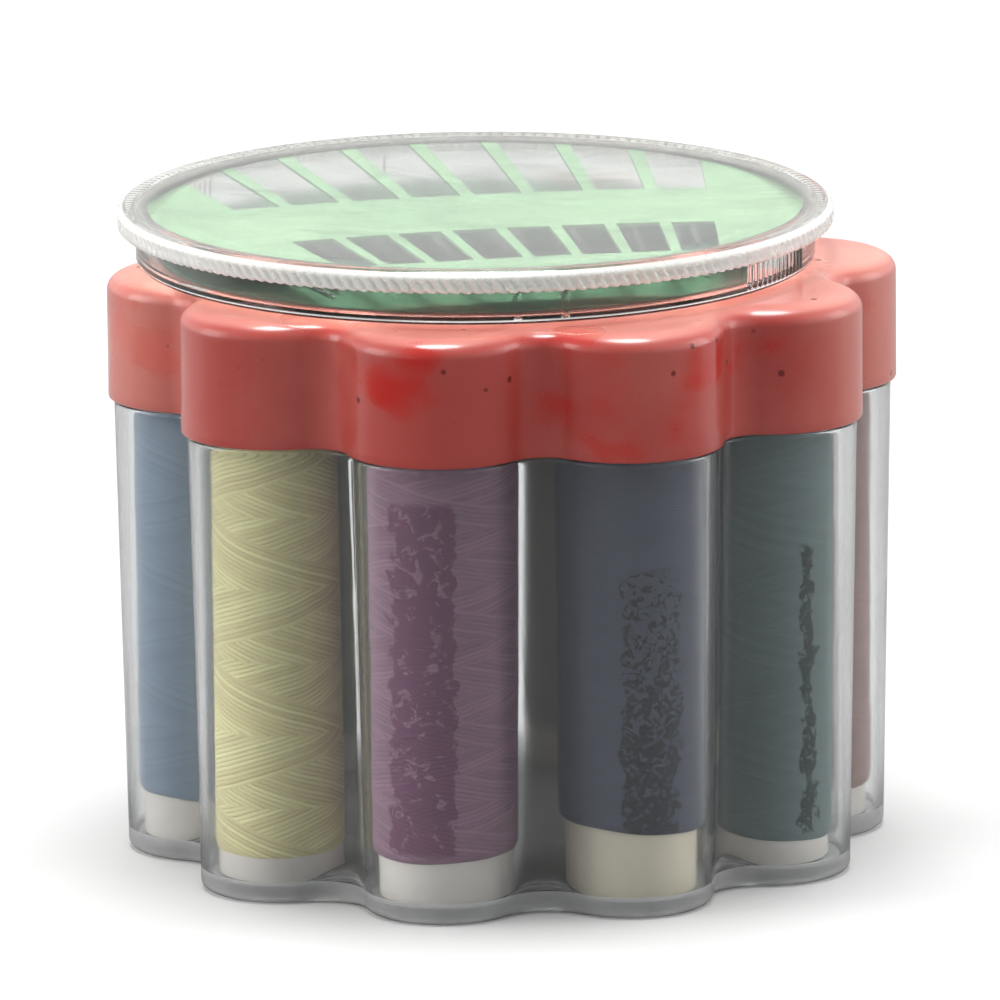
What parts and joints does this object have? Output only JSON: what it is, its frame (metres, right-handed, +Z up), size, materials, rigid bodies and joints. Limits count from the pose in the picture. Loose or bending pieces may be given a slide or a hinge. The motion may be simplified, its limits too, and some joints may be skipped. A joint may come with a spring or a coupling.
{
  "type": "bobbin box",
  "caption": "Scalloped clear tub holding upright thread spools, with a deep slip-on lid and a flat round needle compact on top.",
  "frame": {"origin": "centre of the tub's foot rim, on the surface that the box stands on", "axes": "+Z up along the box's axis, and -Y the side with the purple and navy spools"},
  "size_m": [0.1044, 0.1032, 0.0856],
  "materials": {
    "clear_tub": "clear, slightly milky",
    "red_lid": "gloss",
    "clear_compact": "clear gloss",
    "green_card": "matt, grainy",
    "liner_felt": "felt",
    "needle_steel": "polished",
    "white_tube": "satin",
    "thread_navy": "wound thread",
    "thread_dark_green": "wound thread",
    "thread_mauve": "wound thread",
    "thread_taupe": "wound thread",
    "thread_silver": "wound thread",
    "thread_sage": "wound thread",
    "thread_dark_blue": "wound thread",
    "thread_light_blue": "wound thread",
    "thread_yellow": "wound thread",
    "thread_purple": "wound thread"
  },
  "bodies": {
    "tub_case": {"tub": "clear_tub"},
    "lid_cap": {"lid": "red_lid"},
    "compact_dish": {"compact_base": "clear_compact", "needle_liner": "liner_felt", "needle_1": "needle_steel", "needle_2": "needle_steel", "needle_3": "needle_steel", "needle_4": "needle_steel", "needle_5": "needle_steel", "needle_6": "needle_steel", "needle_7": "needle_steel", "needle_8": "needle_steel", "needle_9": "needle_steel", "needle_10": "needle_steel", "needle_11": "needle_steel", "needle_12": "needle_steel", "needle_13": "needle_steel", "needle_14": "needle_steel", "needle_15": "needle_steel", "needle_16": "needle_steel"},
    "card_disc": {"window_card": "green_card"},
    "cover_cap": {"compact_cover": "clear_compact"},
    "spool_navy": {"spool_tube_navy": "white_tube", "thread_navy": "thread_navy"},
    "spool_dark_green": {"spool_tube_dark_green": "white_tube", "thread_dark_green": "thread_dark_green"},
    "spool_mauve": {"spool_tube_mauve": "white_tube", "thread_mauve": "thread_mauve"},
    "spool_taupe": {"spool_tube_taupe": "white_tube", "thread_taupe": "thread_taupe"},
    "spool_silver": {"spool_tube_silver": "white_tube", "thread_silver": "thread_silver"},
    "spool_sage": {"spool_tube_sage": "white_tube", "thread_sage": "thread_sage"},
    "spool_dark_blue": {"spool_tube_dark_blue": "white_tube", "thread_dark_blue": "thread_dark_blue"},
    "spool_light_blue": {"spool_tube_light_blue": "white_tube", "thread_light_blue": "thread_light_blue"},
    "spool_yellow": {"spool_tube_yellow": "white_tube", "thread_yellow": "thread_yellow"},
    "spool_purple": {"spool_tube_purple": "white_tube", "thread_purple": "thread_purple"}
  },
  "joints": [
    {"name": "lid_lift", "type": "slide", "parent": "tub_case", "child": "lid_cap", "axis": [0, 0, 1], "range_m": [0, 0.05]},
    {"name": "compact_lift", "type": "slide", "parent": "lid_cap", "child": "compact_dish", "axis": [0, 0, 1], "range_m": [0, 0.03]},
    {"name": "cover_lift", "type": "slide", "parent": "compact_dish", "child": "card_disc", "axis": [0, 0, 1], "range_m": [0, 0.02]},
    {"name": "cover_turn", "type": "hinge", "parent": "card_disc", "child": "cover_cap", "pos_m": [-0.0035, 0.0035, 0.084], "axis": [0, 0, 1], "continuous": true},
    {"name": "spool_turn_navy", "type": "hinge", "parent": "tub_case", "child": "spool_navy", "pos_m": [0.01625, -0.0365, 0.038], "axis": [0, 0, 1], "continuous": true},
    {"name": "spool_turn_dark_green", "type": "hinge", "parent": "tub_case", "child": "spool_dark_green", "pos_m": [0.03385, -0.01963, 0.038], "axis": [0, 0, 1], "continuous": true},
    {"name": "spool_turn_mauve", "type": "hinge", "parent": "tub_case", "child": "spool_mauve", "pos_m": [0.03953, 0.00418, 0.038], "axis": [0, 0, 1], "continuous": true},
    {"name": "spool_turn_taupe", "type": "hinge", "parent": "tub_case", "child": "spool_taupe", "pos_m": [0.02969, 0.02673, 0.038], "axis": [0, 0, 1], "continuous": true},
    {"name": "spool_turn_silver", "type": "hinge", "parent": "tub_case", "child": "spool_silver", "pos_m": [0.00831, 0.03908, 0.038], "axis": [0, 0, 1], "continuous": true},
    {"name": "spool_turn_sage", "type": "hinge", "parent": "tub_case", "child": "spool_sage", "pos_m": [-0.01625, 0.0365, 0.038], "axis": [0, 0, 1], "continuous": true},
    {"name": "spool_turn_dark_blue", "type": "hinge", "parent": "tub_case", "child": "spool_dark_blue", "pos_m": [-0.0346, 0.01997, 0.038], "axis": [0, 0, 1], "continuous": true},
    {"name": "spool_turn_light_blue", "type": "hinge", "parent": "tub_case", "child": "spool_light_blue", "pos_m": [-0.03973, -0.00418, 0.038], "axis": [0, 0, 1], "continuous": true},
    {"name": "spool_turn_yellow", "type": "hinge", "parent": "tub_case", "child": "spool_yellow", "pos_m": [-0.02944, -0.02643, 0.038], "axis": [0, 0, 1], "continuous": true},
    {"name": "spool_turn_purple", "type": "hinge", "parent": "tub_case", "child": "spool_purple", "pos_m": [-0.00831, -0.03908, 0.038], "axis": [0, 0, 1], "continuous": true}
  ]
}
